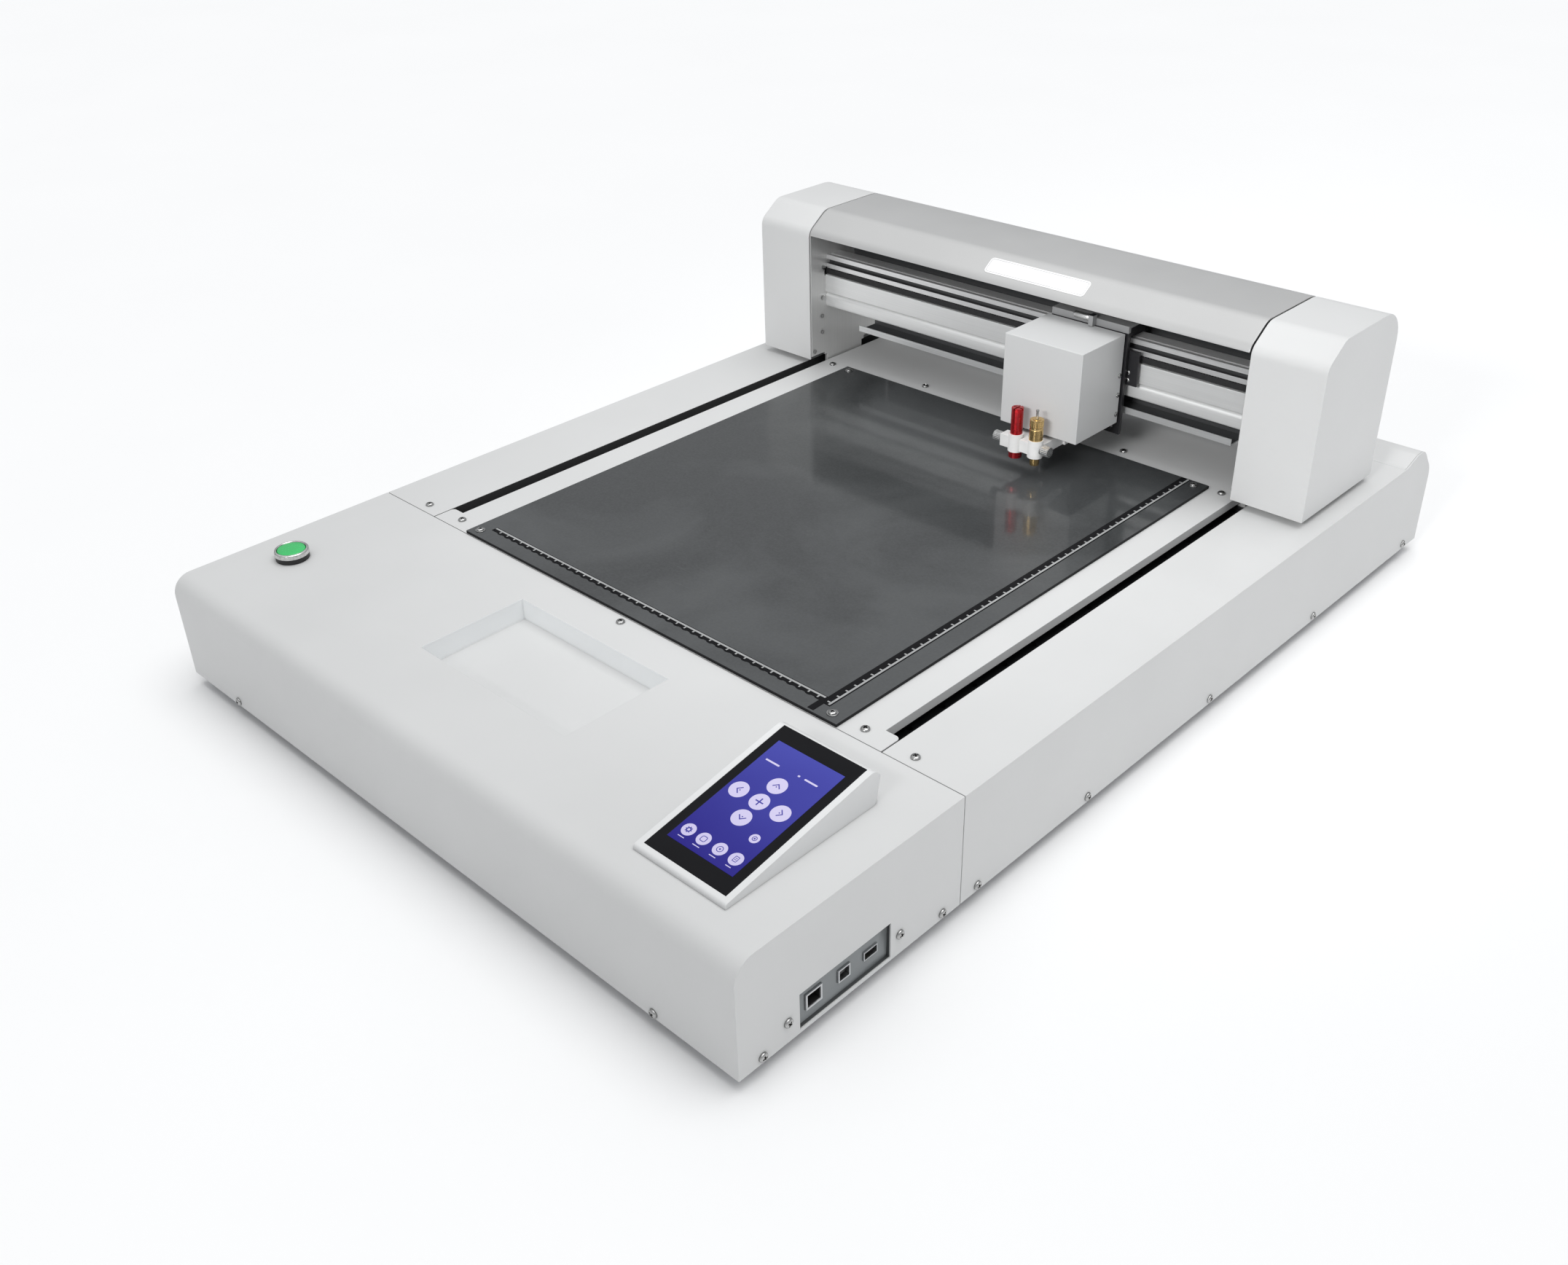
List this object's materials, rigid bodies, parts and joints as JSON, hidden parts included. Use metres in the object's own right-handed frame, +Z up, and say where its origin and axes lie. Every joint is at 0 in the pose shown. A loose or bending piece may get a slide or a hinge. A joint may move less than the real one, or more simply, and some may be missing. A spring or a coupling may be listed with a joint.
{
  "type": "flatbed vinyl cutter",
  "caption": "Flatbed vinyl cutter: low sheet-metal bed with a mat, a sliding gantry with a boxed head that holds creasing and knife tools, and a console with tray, screen and button.",
  "frame": {"origin": "middle of the overall box at the ground, under the feet", "axes": "+X to the operator's right, +Y from the console towards the rear, +Z up"},
  "size_m": [0.7198, 0.9848, 0.286],
  "materials": {
    "housing_paint": "satin warm white powder coat",
    "beam_paint": "satin light grey powder coat",
    "head_paint": "satin white powder coat",
    "clamp_white": "satin white",
    "screen_glass_black": "gloss black",
    "display_lit": "lit blue-violet picture",
    "button_green": "gloss green",
    "bezel_metal": "polished",
    "mat_grey": "smooth dark grey, slightly glossy film",
    "ruler_black": "matt black print",
    "rail_dark": "black oxide",
    "beam_aluminium": "natural anodised",
    "beam_light": "light satin",
    "plate_steel": "brushed",
    "dark_sheet": "gloss dark grey",
    "black_sheet": "satin black",
    "block_steel": "ground",
    "screw_steel": "nickel plated",
    "zinc_plate": "zinc grey",
    "belt_black": "matt",
    "motor_black": "satin black",
    "port_grey": "satin grey",
    "socket_metal": "nickel",
    "black_plastic": "fine grain",
    "foot_rubber": "matt",
    "board_green": "solder mask",
    "supply_metal": "perforated sheet",
    "tool_red": "red anodised",
    "tool_brass": "turned",
    "knurled_steel": "knurled, nickel plated",
    "blade_steel": "ground carbide"
  },
  "bodies": {
    "bed": {"base_tray": "zinc_plate", "rubber_feet": "foot_rubber", "frame_beams": "beam_aluminium", "y_rails": "rail_dark", "console_housing": "housing_paint", "screen_pod": "housing_paint", "screen_glass": "screen_glass_black", "display_panel": "display_lit", "button_switch": "bezel_metal", "port_plate": "port_grey", "ethernet_socket": "socket_metal", "usb_b_socket": "socket_metal", "usb_a_socket": "socket_metal", "left_cover": "housing_paint", "right_cover": "housing_paint", "rear_cover": "housing_paint", "power_inlet": "black_plastic", "bed_pan": "housing_paint", "cutting_mat": "mat_grey", "rulers": "ruler_black", "screws": "screw_steel", "y_belts": "belt_black", "y_motor": "motor_black", "shaft_brackets": "zinc_plate", "power_supply": "supply_metal", "control_board": "board_green"},
    "start_cap": {"button_cap": "button_green"},
    "drive_shaft": {"y_drive_shaft": "screw_steel"},
    "idler_left": {"y_idler_left": "screw_steel"},
    "idler_right": {"y_idler_right": "screw_steel"},
    "gantry": {"left_plate": "plate_steel", "right_plate": "plate_steel", "left_end_cover": "housing_paint", "right_end_cover": "housing_paint", "beam_cover": "beam_paint", "beam_back": "dark_sheet", "main_beam": "beam_light", "top_extrusion": "beam_aluminium", "lower_bar": "beam_light", "cable_channel": "plate_steel", "x_belt": "belt_black", "x_motor": "motor_black", "y_rail_blocks": "block_steel", "gantry_screws": "screw_steel"},
    "motor_pulley": {"x_motor_pulley": "screw_steel"},
    "idler_pulley": {"x_idler_pulley": "screw_steel"},
    "head": {"head_cover": "head_paint", "head_plate": "black_sheet", "x_rail_block": "black_sheet", "lift_motors": "motor_black", "head_fasteners": "screw_steel"},
    "crease_lifter": {"crease_tool": "tool_red", "crease_clamp": "clamp_white"},
    "crease_screw": {"crease_thumbscrew": "knurled_steel"},
    "blade_lifter": {"blade_holder": "tool_brass", "blade_clamp": "clamp_white"},
    "blade_screw": {"blade_thumbscrew": "knurled_steel"},
    "collar": {"depth_collar": "tool_brass"},
    "eject": {"eject_pin": "screw_steel"},
    "knife": {"blade": "blade_steel"}
  },
  "joints": [
    {"name": "gantry_slide", "type": "slide", "parent": "bed", "child": "gantry", "axis": [0, -1, 0], "range_m": [0, 0.42]},
    {"name": "head_slide", "type": "slide", "parent": "gantry", "child": "head", "axis": [1, 0, 0], "range_m": [-0.284, 0.118]},
    {"name": "crease_lift", "type": "slide", "parent": "head", "child": "crease_lifter", "axis": [0, 0, -1], "range_m": [0, 0.015]},
    {"name": "blade_lift", "type": "slide", "parent": "head", "child": "blade_lifter", "axis": [0, 0, -1], "range_m": [0, 0.012]},
    {"name": "start_press", "type": "slide", "parent": "bed", "child": "start_cap", "axis": [0, 0, -1], "range_m": [0, 0.003], "stiffness_N_per_m": 400, "springref_m": -0.001},
    {"name": "eject_press", "type": "slide", "parent": "blade_lifter", "child": "eject", "axis": [0, 0, -1], "range_m": [0, 0.004], "stiffness_N_per_m": 300, "springref_m": -0.001},
    {"name": "crease_screw_turn", "type": "hinge", "parent": "crease_lifter", "child": "crease_screw", "pos_m": [0.0575, 0.173, 0.146], "axis": [1, 0, 0], "range_deg": [-720, 0]},
    {"name": "blade_screw_turn", "type": "hinge", "parent": "blade_lifter", "child": "blade_screw", "pos_m": [0.1105, 0.173, 0.146], "axis": [1, 0, 0], "range_deg": [0, 720]},
    {"name": "collar_turn", "type": "hinge", "parent": "blade_lifter", "child": "collar", "pos_m": [0.0985, 0.173, 0.172], "axis": [0, 0, 1], "range_deg": [0, 360]},
    {"name": "blade_swivel", "type": "hinge", "parent": "blade_lifter", "child": "knife", "pos_m": [0.0985, 0.173, 0.135], "axis": [0, 0, 1], "continuous": true},
    {"name": "drive_spin", "type": "hinge", "parent": "bed", "child": "drive_shaft", "pos_m": [0, 0.41, 0.075], "axis": [1, 0, 0], "range_deg": [-10, 2530]},
    {"name": "idler_left_spin", "type": "hinge", "parent": "bed", "child": "idler_left", "pos_m": [-0.235, -0.2, 0.075], "axis": [1, 0, 0], "range_deg": [-10, 2530]},
    {"name": "idler_right_spin", "type": "hinge", "parent": "bed", "child": "idler_right", "pos_m": [0.235, -0.2, 0.075], "axis": [1, 0, 0], "range_deg": [-10, 2530]},
    {"name": "motor_pulley_spin", "type": "hinge", "parent": "gantry", "child": "motor_pulley", "pos_m": [-0.3, 0.286, 0.2165], "axis": [0, 0, 1], "range_deg": [-1720, 720]},
    {"name": "idler_pulley_spin", "type": "hinge", "parent": "gantry", "child": "idler_pulley", "pos_m": [0.3, 0.286, 0.2165], "axis": [0, 0, 1], "range_deg": [-1720, 720]}
  ],
  "couplings": [
    {"joint": "drive_spin", "follows": "gantry_slide", "rad_per_m": 104.71},
    {"joint": "idler_left_spin", "follows": "gantry_slide", "rad_per_m": 104.71},
    {"joint": "idler_right_spin", "follows": "gantry_slide", "rad_per_m": 104.71},
    {"joint": "motor_pulley_spin", "follows": "head_slide", "rad_per_m": 104.71},
    {"joint": "idler_pulley_spin", "follows": "head_slide", "rad_per_m": 104.71}
  ]
}
